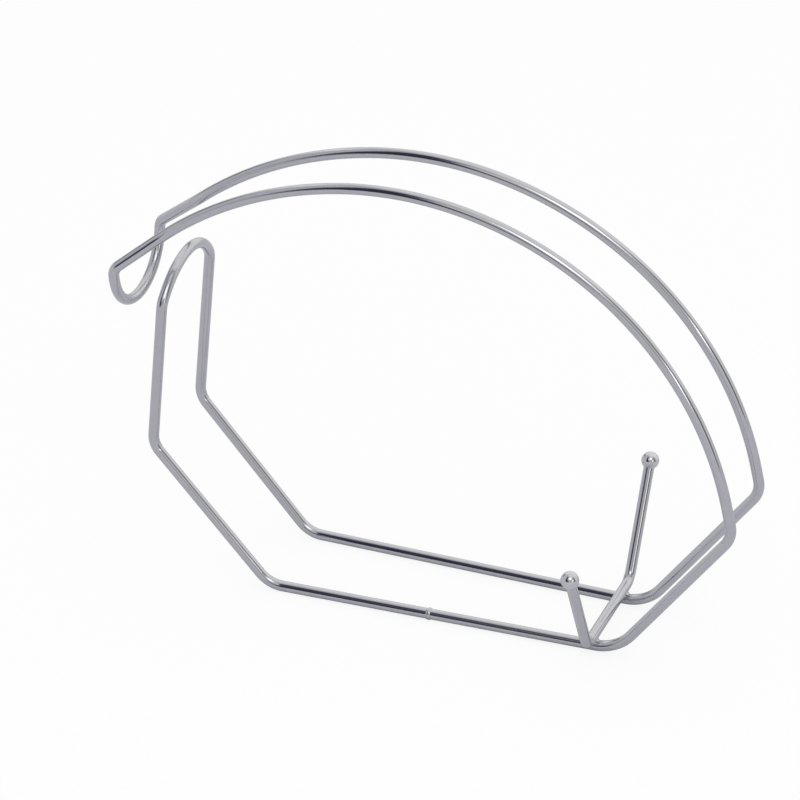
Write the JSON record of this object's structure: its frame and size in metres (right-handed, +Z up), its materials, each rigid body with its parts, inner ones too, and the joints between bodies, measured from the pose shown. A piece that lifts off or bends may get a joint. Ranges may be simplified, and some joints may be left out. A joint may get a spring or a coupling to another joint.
{
  "type": "wine bottle holder",
  "caption": "Free-standing chromed wire holder that cradles a reclining wine bottle on a cross bar with ball-ended arms, and takes its neck between a lower hook and an upper loop.",
  "frame": {"origin": "centre of the part's footprint, on the table", "axes": "+X along the rails from the bottle's neck end to its base end, +Y from the front to the rear, +Z up"},
  "size_m": [0.2684, 0.1106, 0.1928],
  "materials": {
    "chromed_wire": "polished chrome plate on steel wire",
    "chromed_ball": "polished chrome plate on a steel ball",
    "chromed_weld": "chrome plate over a welded joint"
  },
  "bodies": {
    "root": {"frame_wire": "chromed_wire", "saddle_wire": "chromed_wire", "front_ball": "chromed_ball", "rear_ball": "chromed_ball", "butt_weld": "chromed_weld", "front_rail_weld": "chromed_weld", "rear_rail_weld": "chromed_weld"}
  },
  "joints": []
}
